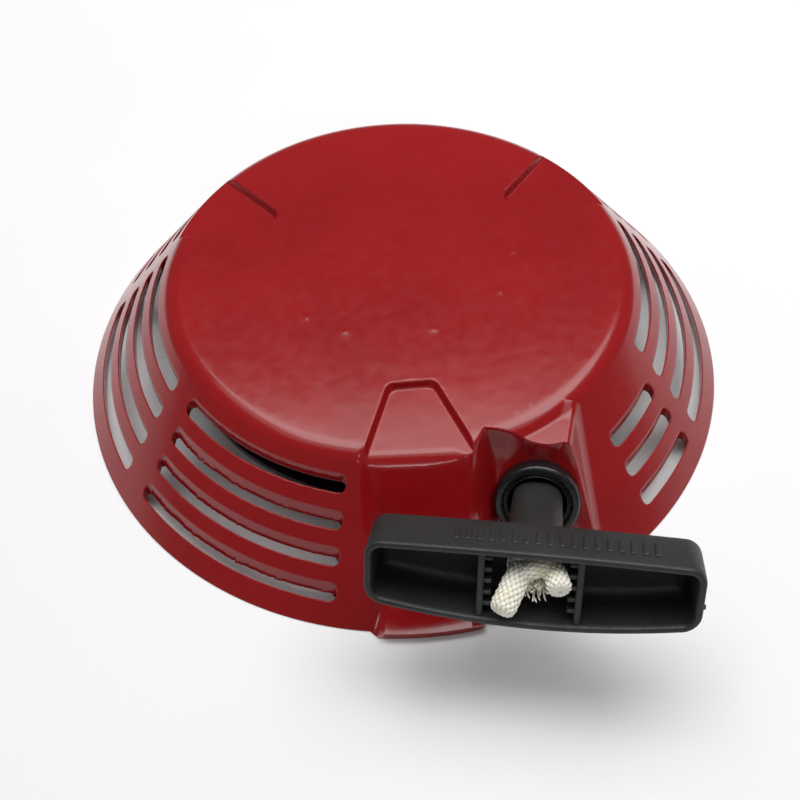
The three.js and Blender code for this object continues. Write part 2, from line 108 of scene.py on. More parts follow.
# pull axis, guide and handle
PULL_TURN = math.radians(10)
PULL_RISE = math.radians(27)
PULL = np.array([
    -math.sin(PULL_TURN) * math.cos(PULL_RISE),
    -math.cos(PULL_TURN) * math.cos(PULL_RISE),
    math.sin(PULL_RISE),
])
GUIDE_FACE = np.array([39.9, -86.2, 24.9])
COLLAR_HEIGHT = 5.5
BORE_R = 10.1
PULL_TO_FACE = 46.4
GRIP_ROLL = math.radians(-3.15)
GRIP_HALF = 46.3
GRIP_SHIFT = -0.3
GRIP_END = 10.4
GRIP_BOW = 3.9
GRIP_SAG = 1.7
GRIP_CORNER = 5.5
CROSS_WALLS = (-14.2, 12.8)
GRIP_RIBS = 18

# reel and pawls
REEL_MID_Z = 22.7
ROPE_OUTER_R = 63.0
ROPE_TURNS = 4.2
PAWL_R = 31.0
PAWL_Z = (11.0, 15.4)

# camera: pan, tilt and roll in degrees, place in metres
CAMERA_TURN = (-0.30171, 51.97826, -2.66544)
CAMERA_AT = (0, -0.26993, 0.31564)
CAMERA_LENS = 49.68
FLOOR_REACH = 3.0
FLOOR_Z = -0.0002


# ------------------------------------------------------------------ small tools
def smin(a, b, k):
    """The lower of two surfaces, with a rounded join about k wide."""
    h = np.clip(0.5 + 0.5 * (b - a) / k, 0, 1)
    return b + (a - b) * h - k * h * (1 - h)


def smax(a, b, k):
    return -smin(-a, -b, k)


def ramp(t):
    t = np.clip(t, 0, 1)
    return t * t * t * (t * (6 * t - 15) + 10)


def frame_axes(x_axis, z_axis):
    z = z_axis / np.linalg.norm(z_axis)
    y = np.cross(z, x_axis)
    y /= np.linalg.norm(y)
    return np.array([np.cross(y, z), y, z])


def make_piece(name, points, faces, material, sharp=35):
    """A mesh object from points in millimetres, smooth but for edges sharper than an angle."""
    mesh = bpy.data.meshes.new(name)
    mesh.from_pydata((np.asarray(points, float) * MM).tolist(), [], faces)
    mesh.polygons.foreach_set("use_smooth", [True] * len(mesh.polygons))
    mesh.set_sharp_from_angle(angle=math.radians(sharp))
    mesh.materials.append(material)
    piece = bpy.data.objects.new(name, mesh)
    bpy.context.collection.objects.link(piece)
    return piece


# ------------------------------------------------------------------- materials
def new_material(name, color, roughness, metallic=0.0, **sockets):
    material = bpy.data.materials.new(name)
    material.use_nodes = True
    shader = material.node_tree.nodes["Principled BSDF"]
    shader.inputs["Base Color"].default_value = (*color, 1)
    shader.inputs["Roughness"].default_value = roughness
    shader.inputs["Metallic"].default_value = metallic
    for socket, value in sockets.items():
        shader.inputs[socket.replace("_", " ")].default_value = value
    return material, material.node_tree, shader


def object_coords(tree):
    return tree.nodes.new("ShaderNodeTexCoord").outputs["Object"]


def noise(tree, coords, scale, detail=3.0, rough=0.5):
    node = tree.nodes.new("ShaderNodeTexNoise")
    node.inputs["Scale"].default_value = scale
    node.inputs["Detail"].default_value = detail
    node.inputs["Roughness"].default_value = rough
    tree.links.new(coords, node.inputs["Vector"])
    return node.outputs["Fac"]


def mapped(tree, value, low, high, to_low, to_high):
    node = tree.nodes.new("ShaderNodeMapRange")
    limits = {"From Min": low, "From Max": high, "To Min": to_low, "To Max": to_high}
    for socket, number in limits.items():
        node.inputs[socket].default_value = number
    tree.links.new(value, node.inputs["Value"])
    return node.outputs["Result"]


def mixed_color(tree, factor, one, other):
    node = tree.nodes.new("ShaderNodeMix")
    node.data_type = "RGBA"
    node.inputs[6].default_value = (*one, 1)
    node.inputs[7].default_value = (*other, 1)
    tree.links.new(factor, node.inputs[0])
    return node.outputs[2]


def bumped(tree, height, distance, strength=1.0, normal=None):
    node = tree.nodes.new("ShaderNodeBump")
    node.inputs["Distance"].default_value = distance
    node.inputs["Strength"].default_value = strength
    tree.links.new(height, node.inputs["Height"])
    if normal is not None:
        tree.links.new(normal, node.inputs["Normal"])
    return node.outputs["Normal"]


def red_enamel():
    material, tree, shader = new_material(
        "red_enamel", (0.3, 0.008, 0.01), 0.2,
        Specular_IOR_Level=0.46, Coat_Weight=0.04, Coat_Roughness=0.03,
    )
    coords = object_coords(tree)
    patches = noise(tree, coords, 22, 2)
    specks = noise(tree, coords, 260, 2)
    patchy = mapped(tree, patches, 0.35, 0.65, 0, 1)
    color = mixed_color(tree, patchy, (0.268, 0.005, 0.007), (0.305, 0.007, 0.009))
    tree.links.new(color, shader.inputs["Base Color"])
    tree.links.new(mapped(tree, specks, 0.35, 0.75, 0.15, 0.21), shader.inputs["Roughness"])
    peel = bumped(tree, noise(tree, coords, 330, 2), 0.00002)
    tree.links.new(bumped(tree, noise(tree, coords, 60, 1), 0.00012, 1.0, peel), shader.inputs["Normal"])
    return material


def moulded_plastic(name, color, roughness, grain=900):
    material, tree, shader = new_material(name, color, roughness)
    coords = object_coords(tree)
    fine = noise(tree, coords, grain, 4, 0.6)
    wide = noise(tree, coords, 45, 3)
    lighter = tuple(min(1, c * 1.5 + 0.004) for c in color)
    tint = mixed_color(tree, mapped(tree, wide, 0.4, 0.7, 0, 1), color, lighter)
    gloss = mapped(tree, fine, 0.3, 0.7, roughness - 0.1, roughness + 0.1)
    tree.links.new(tint, shader.inputs["Base Color"])
    tree.links.new(gloss, shader.inputs["Roughness"])
    tree.links.new(bumped(tree, fine, 0.00006), shader.inputs["Normal"])
    return material


def worn_metal(name, color, roughness, metallic=0.95, stretch=(1, 1, 1)):
    material, tree, shader = new_material(name, color, roughness, metallic)
    mapping = tree.nodes.new("ShaderNodeMapping")
    mapping.inputs["Scale"].default_value = stretch
    tree.links.new(object_coords(tree), mapping.inputs["Vector"])
    grain = noise(tree, mapping.outputs["Vector"], 500, 5, 0.6)
    stain = noise(tree, object_coords(tree), 70, 4)
    darker = tuple(c * 0.55 for c in color)
    tint = mixed_color(tree, mapped(tree, stain, 0.45, 0.72, 0, 1), color, darker)
    gloss = mapped(tree, grain, 0.3, 0.7, roughness - 0.1, roughness + 0.15)
    tree.links.new(tint, shader.inputs["Base Color"])
    tree.links.new(gloss, shader.inputs["Roughness"])
    tree.links.new(bumped(tree, grain, 0.00002), shader.inputs["Normal"])
    return material


def rope_fibre():
    material, tree, shader = new_material("rope_fibre", (0.66, 0.62, 0.47), 0.75, Sheen_Weight=0.3)
    coords = object_coords(tree)
    strand = noise(tree, coords, 2600, 3, 0.7)
    dirt = noise(tree, coords, 190, 4, 0.6)
    dirty = mapped(tree, dirt, 0.45, 0.8, 0, 1)
    color = mixed_color(tree, dirty, (0.97, 0.95, 0.86), (0.74, 0.66, 0.42))
    # painted shade: the grooves between the braid's strands are darkened by their depth
    groove_shade = tree.nodes.new("ShaderNodeAttribute")
    groove_shade.attribute_name = "groove_shade"
    shade = tree.nodes.new("ShaderNodeMix")
    shade.data_type = "RGBA"
    shade.inputs[7].default_value = (0.3, 0.25, 0.12, 1)
    tree.links.new(mapped(tree, groove_shade.outputs["Fac"], 0.4, 0.9, 0, 0.85), shade.inputs[0])
    tree.links.new(color, shade.inputs[6])
    tree.links.new(shade.outputs[2], shader.inputs["Base Color"])
    tree.links.new(bumped(tree, strand, 0.00012), shader.inputs["Normal"])
    return material


def floor_paint():
    material, tree, shader = new_material(
        "studio_floor", (0.86, 0.86, 0.87), 0.7,
        Emission_Color=(1, 1, 1, 1), Emission_Strength=0.02,
    )
    grain = noise(tree, object_coords(tree), 8, 2)
    color = mixed_color(tree, grain, (0.84, 0.84, 0.85), (0.88, 0.88, 0.885))
    tree.links.new(color, shader.inputs["Base Color"])
    return material


RED = red_enamel()
BLACK = moulded_plastic("black_nylon", (0.016, 0.017, 0.017), 0.42)
GRIP = moulded_plastic("grip_plastic", (0.015, 0.015, 0.015), 0.5, 1300)
REEL = moulded_plastic("reel_nylon", (0.022, 0.017, 0.018), 0.4)
ZINC = worn_metal("zinc_plate", (0.55, 0.56, 0.58), 0.32)
SPRING = worn_metal("spring_steel", (0.3, 0.31, 0.33), 0.3, stretch=(1, 1, 8))
DARK = worn_metal("hard_steel", (0.13, 0.13, 0.14), 0.38)
ROPE = rope_fibre()
GLOSSY = moulded_plastic("guide_nylon", (0.007, 0.007, 0.008), 0.3)


# -------------------------------------------------------- shape of the housing
def profile(r):
    fillet = TOP_Z - TOP_FILLET + np.sqrt(np.clip(TOP_FILLET**2 - (r - TOP_FLAT_R) ** 2, 0, None))
    cone = CONE_SLOPE * (RIM_R - r)
    cone_start = TOP_FLAT_R + TOP_FILLET * math.sin(math.atan(CONE_SLOPE))
    return np.where(r < TOP_FLAT_R, TOP_Z, np.where(r < cone_start, fillet, cone))


def pad_drop(x, y):
    """How far each recessed pad lowers the top: a flat floor inside rounded step walls."""
    inner_r, half, flare, flare_cos = 50.2, 8.0, 0.365, 0.94
    drop = np.zeros_like(x)
    for angle in PAD_ANGLES:
        c, s = math.cos(math.radians(angle)), math.sin(math.radians(angle))
        along, across = x * c + y * s, np.abs(y * c - x * s)
        side = (half + flare * (along - 50) - across) * flare_cos
        depth_in = smin(side, along - inner_r, 2.4)
        drop = np.maximum(drop, (PAD_DEPTH + 0.4) * ramp(depth_in / 2.3))
    return drop


def panel_floor(y):
    return LEDGE_Z + PANEL_SLOPE * (y - PANEL_FOOT_Y)


def panel_left(y):
    """Where the panel's floor ends and its slanted left wall starts."""
    return np.interp(y, PANEL_LEFT_Y, PANEL_LEFT_X)


def front_cut(x, y):
    """Surface that the front is cut back to: panel, side walls and rope recess."""
    floor = smax(panel_floor(y), np.full_like(y, LEDGE_Z), 2.0)
    edge = panel_left(y)
    wall_x = PANEL_WALL_X
    beside = np.maximum(profile(np.hypot(wall_x, y)), 0.4)
    rise = np.clip((edge - x) / (edge - wall_x), 0, None)
    left = floor + np.maximum(beside - floor, 0) * rise
    left = np.where(x < wall_x - 1.0, left + 6 * (wall_x - 1.0 - x), left)
    panel = np.where(x < edge, left, floor)
    right = floor - 2.6 * (x - 20.3)
    panel = smin(panel, np.where(x < 8, panel + 30, right), 7.0)
    return smax(panel, rope_wall(x, y), 2.5)


def rope_wall(x, y):
    """Slanted wall that the guide sits in: it turns steeper behind the guide."""
    back = math.sin(PULL_TURN) * (x - RECESS_AT[0]) + math.cos(PULL_TURN) * (y - RECESS_AT[1])
    beyond = back - 6.2
    wall = RECESS_Z + RECESS_SLOPE * back + 1.5 * (beyond + np.sqrt(beyond**2 + 0.6))
    wall = np.where(x < 8, -20.0, wall)
    return smax(wall, np.full_like(x, LEDGE_Z), 1.5)


def boss(x, y):
    """Nose over the rope guide: flat roof, round front, sloping right side."""
    nose = BOX_TOP_Z - 11.0 * (np.hypot(x - NOSE_AT[0], y - NOSE_AT[1]) - NOSE_R)
    nose = np.where(y > NOSE_AT[1], BOX_TOP_Z + 20, nose)
    nose = smax(nose, rope_wall(x, y), 1.0)
    side = BOX_TOP_Z - 2.4 * ((x - 54.6) - 0.252 * (y + 56.6))
    left = BOX_TOP_Z + 4.4 * (x - 31.5)
    roof = smin(np.full_like(x, BOX_TOP_Z), smin(nose, left, 3.0), 1.6)
    return smin(roof, side, 2.6)


def outside(x, y):
    """Height of the painted outside, before its edges are rounded."""
    r = np.hypot(x, y)
    z = profile(r)
    sunk = z - (TOP_Z - pad_drop(x, y))
    dip = np.clip(sunk, 0, None)
    z = z - np.where(dip < 0.8, dip**2 / 1.6, dip - 0.4)
    front = (y < FRONT_Y) & (x > FRONT_X[0]) & (x < FRONT_X[1])
    cut = np.where(front, front_cut(x, y), 90.0)
    cut_join = 1.4 + 4.0 * ramp((y + 91) / 7) * ramp((20 - x) / 6) * ramp((x + 15) / 4)
    boss_join = 0.9 + 3.0 * ramp((x - 46) / 8)
    z = np.where(front, smin(z, cut, cut_join), z)
    z = np.where(front, smax(z, boss(x, y), boss_join), z)
    for px, py, size in PIMPLES:
        near = np.exp(-((x - px) ** 2 + (y - py) ** 2) / (0.6 * size**2))
        z = z + 0.13 * near
    ledge = (x > LEDGE_X[0] - 3) & (x < LEDGE_X[1] + 2) & (r > 108) & (y < 0)
    z = np.where(ledge & (z < LEDGE_Z) & (x > panel_left(y)) & (x < LEDGE_X[1]), LEDGE_Z, z)
    return np.maximum(z, 0.15)


def slot_distance(x, y):
    """Distance outside the nearest slot's edge, negative inside a slot."""
    r, turn = np.hypot(x, y), np.degrees(np.arctan2(y, x))
    best = np.full_like(x, 99.0)
    for start, span, rows in SLOT_GROUPS:
        for row in rows:
            cap = math.degrees(SLOT_HALF / row)
            low, high = start + cap, start + span - cap
            middle = (low + high) / 2
            off = (turn - middle + 180) % 360 - 180
            beyond = np.clip(np.abs(off) - (high - low) / 2, 0, None)
            reach = np.where(beyond > 0, 2 * np.sqrt(r * row) * np.sin(np.radians(beyond) / 2), 0)
            best = np.minimum(best, np.hypot(r - row, reach) - SLOT_HALF)
    return best


def rim_distance(x, y):
    """Distance inside the outline: the rim's circle joined with the ledge."""
    r = np.hypot(x, y)
    left_edge = (x - LEDGE_X[0]) + 0.9 * np.clip(y + 117, -9, 3)
    ledge = np.minimum(LEDGE_R - r, np.minimum(left_edge, LEDGE_X[1] - x))
    ledge = np.where(y < -100, ledge, -50)
    return np.maximum(RIM_R - r, ledge)


def roll(d, radius):
    """How far a rounded edge falls, at a distance from the edge."""
    t = np.clip(d, 0.03 * radius, radius)
    return radius - np.sqrt(radius**2 - (radius - t) ** 2)


def painted(x, y):
    """The outside with the edges of its slots rounded."""
    z = outside(x, y) - roll(slot_distance(x, y), SLOT_EDGE_R)
    return np.maximum(z, 0.1)


def gradient(surface, x, y, step=0.02):
    gx = (surface(x + step, y) - surface(x - step, y)) / (2 * step)
    gy = (surface(x, y + step) - surface(x, y - step)) / (2 * step)
    return gx, gy


def inside(x, y):
    """Height of the casting's inner face, a wall's thickness under the outside."""
    gx, gy = gradient(outside, x, y, 0.4)
    steep = np.minimum(gx**2 + gy**2, 4.8)
    z = outside(x, y) - WALL * np.sqrt(1 + steep)
    return np.where(z < 0.6, 0.0, z)


# ---------------------------------------------------------- mesh of the housing
def slot_outline(row, start, span, offset, spacing):
    """Points round a slot, grown by an offset."""
    half = SLOT_HALF + offset
    cap = SLOT_HALF / row
    a0, a1 = math.radians(start) + cap, math.radians(start + span) - cap
    points = []

    def arc(cx, cy, radius, b0, b1):
        steps = max(3, round(abs(radius * (b1 - b0)) / spacing))
        b = b0 + (b1 - b0) * np.arange(steps) / steps
        points.append(np.column_stack([cx + radius * np.cos(b), cy + radius * np.sin(b)]))

    arc(0, 0, row + half, a0, a1)
    arc(row * math.cos(a1), row * math.sin(a1), half, a1, a1 + math.pi)
    arc(0, 0, row - half, a1, a0)
    arc(row * math.cos(a0), row * math.sin(a0), half, a0 + math.pi, a0 + 2 * math.pi)
    return np.vstack(points)


def rim_outline(spacing=1.2):
    x0, x1 = LEDGE_X
    start = math.atan2(-math.sqrt(RIM_R**2 - x1**2), x1)
    end = math.atan2(-114.2, PANEL_WALL_X) + 2 * math.pi
    steps = round(RIM_R * (end - start) / spacing)
    a = np.linspace(start, end, steps)
    circle = np.column_stack([RIM_R * np.cos(a), RIM_R * np.sin(a)])
    b0, b1 = math.atan2(-116.7, x0), math.atan2(-LEDGE_R, x1 - 1.2)
    b = np.linspace(b0, b1, 30)
    ledge = np.column_stack([LEDGE_R * np.cos(b), LEDGE_R * np.sin(b)])
    corner_y = -math.sqrt(LEDGE_R**2 - x1**2)
    corner = np.array([[x1 - 0.3, corner_y + 0.5], [x1, corner_y + 1.3]])
    return np.vstack([circle, ledge, corner])


def bore_outline(surface, count=72):
    """The guide bore's edge on a surface, by sliding a circle's points along the pull."""
    across, up, _ = frame_axes(np.array([1.0, 0, 0]), PULL)
    t = np.linspace(0, 2 * math.pi, count, endpoint=False)
    ring = GUIDE_FACE + BORE_R * (np.cos(t)[:, None] * across + np.sin(t)[:, None] * up)
    low, high = np.full(count, -22.0), np.full(count, 4.0)
    for _ in range(40):
        middle = (low + high) / 2
        p = ring + middle[:, None] * PULL
        above = p[:, 2] > surface(p[:, 0], p[:, 1])
        high, low = np.where(above, middle, high), np.where(above, low, middle)
    return ring + ((low + high) / 2)[:, None] * PULL


def inside_polygon(points, polygon):
    x, y = points[:, 0][:, None], points[:, 1][:, None]
    x0, y0 = polygon[:, 0], polygon[:, 1]
    x1, y1 = np.roll(x0, -1), np.roll(y0, -1)
    crosses = (y0 > y) != (y1 > y)
    with np.errstate(divide="ignore", invalid="ignore"):
        at = x0 + (y - y0) * (x1 - x0) / (y1 - y0)
    return (np.sum(crosses & (x < at), axis=1) % 2) == 1


def grid_points(surface, spacing, keep):
    """Staggered grid points where the surface bends more than a threshold, or all if it is negative."""
    n = int(118 / spacing) + 1
    i, j = np.meshgrid(np.arange(-n, n + 1), np.arange(-n, n + 1))
    x = (i + 0.5 * (j % 2)) * spacing
    y = j * spacing * 0.866
    x, y = x.ravel(), y.ravel()
    s = spacing
    bend = np.maximum(
        np.abs(surface(x + s, y) + surface(x - s, y) - 2 * surface(x, y)),
        np.abs(surface(x, y + s) + surface(x, y - s) - 2 * surface(x, y)),
    ) / s**2
    chosen = bend > keep
    return np.column_stack([x, y])[chosen]


def spread(points, taken, gap):
    """Drops the points that lie closer than a gap to points already taken."""
    tree = KDTree(len(taken))
    for i, (x, y) in enumerate(taken):
        tree.insert((x, y, 0), i)
    tree.balance()
    return np.array([p for p in points if tree.find((p[0], p[1], 0))[2] > gap])


def triangulated(loops, free, keep_triangle):
    """Constrained triangles over loops and free points: xy, triangles and each loop's indices."""
    coords = np.vstack([*loops, free])
    edges, at = [], 0
    for loop in loops:
        n = len(loop)
        edges += [(at + i, at + (i + 1) % n) for i in range(n)]
        at += n
    made = delaunay_2d_cdt([Vector(p) for p in coords.tolist()], edges, [], 0, 1e-6, True)
    xy = np.array([tuple(v) for v in made[0]])
    faces = np.array(made[2])
    place = {}
    for out, sources in enumerate(made[3]):
        for source in sources:
            place[source] = out
    rings, at = [], 0
    for loop in loops:
        rings.append([place[at + i] for i in range(len(loop))])
        at += len(loop)
    return xy, faces[keep_triangle(xy, faces)], rings


def skin(surface, bore, slot_loops, rim, free):
    owner_loops = [rim, bore, *slot_loops]

    def keep(xy, faces):
        centre = xy[faces].mean(axis=1)
        held = rim_distance(centre[:, 0], centre[:, 1]) > -0.02
        held &= slot_distance(centre[:, 0], centre[:, 1]) > 0.002
        return held & ~inside_polygon(centre, bore)

    xy, faces, rings = triangulated(owner_loops, free, keep)
    z = surface(xy[:, 0], xy[:, 1])
    return np.column_stack([xy, z]), faces, rings


def plain_fillet(x, y, margin=0.0):
    """Where the round edge of the top runs clear of the pads and of the cut-back front."""
    r = np.hypot(x, y)
    clear = (r > FILLET_RING_R[0] - margin) & (r < FILLET_RING_R[-1] + margin) & (pad_drop(x, y) < 0.001)
    return clear & ~((y < FRONT_Y + 2) & (x > FRONT_X[0] - 2) & (x < FRONT_X[1] + 1))


def fillet_rings():
    rings = []
    for k, r in enumerate(FILLET_RING_R):
        a = (np.arange(FILLET_RING_COUNT) + 0.5 * (k % 2)) * 2 * math.pi / FILLET_RING_COUNT
        rings.append(np.column_stack([r * np.cos(a), r * np.sin(a)]))
    rings = np.vstack(rings)
    return rings[plain_fillet(rings[:, 0], rings[:, 1])]


def on_boss_rows(x, y, margin=0.0):
    """The steep round front of the nose over the guide."""
    reach = np.hypot(x - NOSE_AT[0], y - NOSE_AT[1])
    near = (reach > BOSS_ROWS_FROM - margin) & (reach < BOSS_ROWS_FROM + BOSS_ROWS_WIDE + margin)
    return near & (y < NOSE_AT[1] - 1 + margin) & (x > 31 - margin)


def boss_rows():
    rows = []
    for k in range(BOSS_ROW_COUNT):
        reach = BOSS_ROWS_FROM + k * BOSS_ROWS_WIDE / (BOSS_ROW_COUNT - 1)
        a = (np.arange(110) + 0.5 * (k % 2)) * math.pi / 110
        rows.append(np.column_stack([NOSE_AT[0] + reach * np.cos(a), NOSE_AT[1] - reach * np.sin(a)]))
    rows = np.vstack(rows)
    return rows[on_boss_rows(rows[:, 0], rows[:, 1])]


def clear_of(points, rim_gap, slot_gap):
    """The points that keep their distance from the outline and from the slots."""
    x, y = points[:, 0], points[:, 1]
    return points[(rim_distance(x, y) > rim_gap) & (slot_distance(x, y) > slot_gap)]


def outer_points(near_slots, bore):
    """Free points of the outer skin: finer where it bends, in rows along its round edges."""
    grids = ((3.2, -1), (1.6, 0.008), (0.8, 0.05), (0.4, 0.35))
    smooth = np.vstack([grid_points(outside, spacing, bend) for spacing, bend in grids])
    smooth = np.unique(np.round(smooth, 4), axis=0)
    x, y = smooth[:, 0], smooth[:, 1]
    smooth = smooth[~plain_fillet(x, y, 0.35) & ~on_boss_rows(x, y, 0.2)]
    smooth = clear_of(np.vstack([smooth, fillet_rings(), boss_rows()]), 0.5, 0.95)
    near_slots = near_slots[rim_distance(near_slots[:, 0], near_slots[:, 1]) > 0.3]
    free = np.vstack([near_slots, spread(smooth, bore, 0.5)])
    return free[~inside_polygon(free, bore)]


def inner_points(bore):
    """Free points of the inner skin, with a ring where it reaches the rim's plane."""
    inner_rim_r = 111.65
    around = np.linspace(0, 2 * math.pi, 480, endpoint=False)
    inner_rim = np.array([[inner_rim_r * math.cos(a), inner_rim_r * math.sin(a)] for a in around])
    coarse = np.vstack([grid_points(outside, 3.2, -1), grid_points(outside, 1.6, 0.02), inner_rim])
    free = spread(clear_of(coarse, 0.6, 0.5), bore, 0.6)
    return free[~inside_polygon(free, bore)]


def wall_between(ring, below):
    """Quads that join a loop of the outer skin to the same loop of the inner skin."""
    return list(zip(ring, ring[1:] + ring[:1], below[1:] + below[:1], below))


def housing_piece():
    slots = [(row, start, span) for start, span, rows in SLOT_GROUPS for row in rows]
    rim = rim_outline()
    slot_loops = [slot_outline(*slot, 0, 0.8) for slot in slots]
    near_slots = np.vstack([
        slot_outline(*slot, offset, 0.95) for slot in slots for offset in SLOT_RING_OFFSETS
    ])
    outer_bore = bore_outline(outside)[:, :2]
    inner_bore = bore_outline(inside)[:, :2]
    outer_free = outer_points(near_slots, outer_bore)
    inner_free = inner_points(inner_bore)
    outer, outer_faces, outer_rings = skin(painted, outer_bore, slot_loops, rim, outer_free)
    inner, inner_faces, inner_rings = skin(inside, inner_bore, slot_loops, rim, inner_free)
    inner[inner_rings[0], 2] = 0.0
    add_flash(inner, inner_rings[2:], [row for row, _, _ in slots])
    shift = len(outer)
    points = np.vstack([outer, inner])
    faces = outer_faces.tolist() + (inner_faces[:, ::-1] + shift).tolist()
    walls = [
        wall_between(ring, [i + shift for i in below]) for ring, below in zip(outer_rings, inner_rings)
    ]
    faces += [face[::-1] for face in walls[0]]
    for wall in walls[1:]:
        faces += wall
    piece = make_piece("housing_shell", points, faces, RED, 40)
    shade_skin(piece, outer, len(outer_faces))
    return piece


def add_flash(inner, rings, row_of):
    """Ragged metal left by casting on the lower edge of the slot walls."""
    for index, ring in enumerate(rings):
        xy = inner[ring, :2]
        n = len(ring)
        outward = np.roll(xy, -1, axis=0) - np.roll(xy, 1, axis=0)
        normal = np.column_stack([-outward[:, 1], outward[:, 0]])
        normal /= np.linalg.norm(normal, axis=1)[:, None] + 1e-9
        rough = rng.random(n) * rng.random(n)
        waves = np.convolve(np.tile(rng.random(n), 3), np.ones(9) / 9, "same")[n:2 * n]
        amount = 0.05 + 1.9 * rough * np.clip(waves * 2.4 - 1.0, 0, 1)
        if index in FLASHED:
            amount += 0.9 * (np.hypot(xy[:, 0], xy[:, 1]) < row_of[index] - 0.9)
        else:
            amount = amount * 0.1
        inner[ring, :2] += normal * amount[:, None]


def shade_skin(piece, outer, count):
    """Gives the outer skin the normals of its exact surface."""
    x, y = outer[:, 0], outer[:, 1]
    r = np.hypot(x, y)
    on_ledge = (x > LEDGE_X[0] - 0.2) & (x < LEDGE_X[1] + 0.2) & (y < 0)
    whole_r = RIM_R - 0.5
    pull_in = np.where((r > whole_r) & ~on_ledge, whole_r / np.maximum(r, 1), 1.0)
    gx, gy = gradient(outside, x * pull_in, y * pull_in)
    d = slot_distance(x, y)
    dx, dy = gradient(slot_distance, x, y)
    t = np.clip(SLOT_EDGE_R - np.clip(d, 0.02, SLOT_EDGE_R), 0, None)
    fall = t / np.sqrt(np.maximum(SLOT_EDGE_R**2 - t**2, 1e-4))
    normals = np.column_stack([-gx - fall * dx, -gy - fall * dy, np.ones_like(x)])
    normals /= np.linalg.norm(normals, axis=1)[:, None]
    mesh = piece.data
    loops = np.zeros((len(mesh.loops), 3))
    corners = np.zeros(len(mesh.loops), dtype=int)
    mesh.loops.foreach_get("vertex_index", corners)
    loops[:3 * count] = normals[corners[:3 * count]]
    mesh.normals_split_custom_set(loops.tolist())


# ------------------------------------------------------------- camera and light
def make_camera():
    pan, tilt, roll_angle = (math.radians(a) for a in CAMERA_TURN)
    forward = Vector((math.sin(pan) * math.cos(tilt), math.cos(pan) * math.cos(tilt), -math.sin(tilt)))
    right = forward.cross(Vector((0, 0, 1))).normalized()
    up = right.cross(forward)
    x_axis = math.cos(roll_angle) * right + math.sin(roll_angle) * up
    y_axis = -math.sin(roll_angle) * right + math.cos(roll_angle) * up
    data = bpy.data.cameras.new("camera")
    data.lens = CAMERA_LENS
    data.sensor_width = 36
    data.clip_start = 0.01
    camera = bpy.data.objects.new("camera", data)
    camera.matrix_world = Matrix((x_axis, y_axis, -forward)).transposed().to_4x4()
    camera.location = CAMERA_AT
    bpy.context.collection.objects.link(camera)
    bpy.context.scene.camera = camera


def area_light(name, place, target, size, power):
    data = bpy.data.lights.new(name, "AREA")
    data.shape = "RECTANGLE"
    data.size, data.size_y = size
    data.energy = power
    light = bpy.data.objects.new(name, data)
    light.location = place
    aim = Vector(target) - Vector(place)
    light.rotation_euler = (math.atan2(math.hypot(aim.x, aim.y), -aim.z), 0, math.atan2(-aim.x, aim.y))
    bpy.context.collection.objects.link(light)


def make_studio():
    mesh = bpy.data.meshes.new("floor")
    corners = [(x * FLOOR_REACH, y * FLOOR_REACH, 0) for x, y in ((-1, -1), (1, -1), (1, 1), (-1, 1))]
    mesh.from_pydata(corners, [], [(0, 1, 2, 3)])
    mesh.materials.append(floor_paint())
    floor = bpy.data.objects.new("floor", mesh)
    floor.location = (0, 0, FLOOR_Z)
    bpy.context.collection.objects.link(floor)
    world = bpy.data.worlds.new("studio")
    bpy.context.scene.world = world
    world.use_nodes = True
    background = world.node_tree.nodes["Background"]
    background.inputs["Color"].default_value = (1, 1, 1, 1)
    background.inputs["Strength"].default_value = 0.15
    area_light("overhead", (0.2, 0.38, 1.3), (0.2, 0.37, 0), (1.5, 1.02), 16.8)
    area_light("ceiling", (0.1, 0.1, 1.75), (0.1, 0.09, 0), (2.4, 1.4), 11.4)
    area_light("front_strip", (0.1, -1.2, 0.95), (0.05, -0.08, 0.04), (0.5, 0.1), 1.4)
    bpy.context.scene.view_settings.view_transform = "Standard"


# ------------------------------------------------------------- turned and swept
def rounded(points, radius, steps=3):
    """Softens the corners of a closed outline."""
    points = np.asarray(points, float)
    made = []
    for before, corner, after in zip(np.roll(points, 1, 0), points, np.roll(points, -1, 0)):
        into, out = before - corner, after - corner
        cut_in = min(radius, 0.42 * np.linalg.norm(into))
        cut_out = min(radius, 0.42 * np.linalg.norm(out))
        start = corner + into / np.linalg.norm(into) * cut_in
        end = corner + out / np.linalg.norm(out) * cut_out
        for t in np.linspace(0, 1, steps + 1):
            made.append((1 - t) ** 2 * start + 2 * t * (1 - t) * corner + t * t * end)
    return np.array(made)


def ring_faces(rows, columns, closed_rows=False):
    faces = []
    last = rows if closed_rows else rows - 1
    for i in range(last):
        for j in range(columns):
            a, b = i * columns + j, i * columns + (j + 1) % columns
            c, d = ((i + 1) % rows) * columns + (j + 1) % columns, ((i + 1) % rows) * columns + j
            faces.append((a, b, c, d))
    return faces


def lathe_mesh(outline, segments=96):
    """A closed outline of (radius, height) turned about Z, counter-clockwise for outward faces."""
    outline = np.asarray(outline, float)
    a = np.linspace(0, 2 * math.pi, segments, endpoint=False)
    rows = [np.column_stack([r * np.cos(a), r * np.sin(a), np.full(segments, z)]) for r, z in outline]
    return np.vstack(rows), ring_faces(len(outline), segments, True)


def loft_mesh(rings):
    """Rings of points joined in order and capped at both ends."""
    columns = len(rings[0])
    faces = ring_faces(len(rings), columns)
    faces.append(tuple(reversed(range(columns))))
    faces.append(tuple(range((len(rings) - 1) * columns, len(rings) * columns)))
    return np.vstack(rings), faces


def placed(points, axes, origin):
    return np.asarray(points) @ np.asarray(axes) + np.asarray(origin)


def inset(outline, amount):
    """An outline moved inwards by an amount, along its own normals."""
    along = np.roll(outline, -1, 0) - np.roll(outline, 1, 0)
    normal = np.column_stack([-along[:, 1], along[:, 0]])
    normal /= np.linalg.norm(normal, axis=1)[:, None]
    return outline + normal * amount


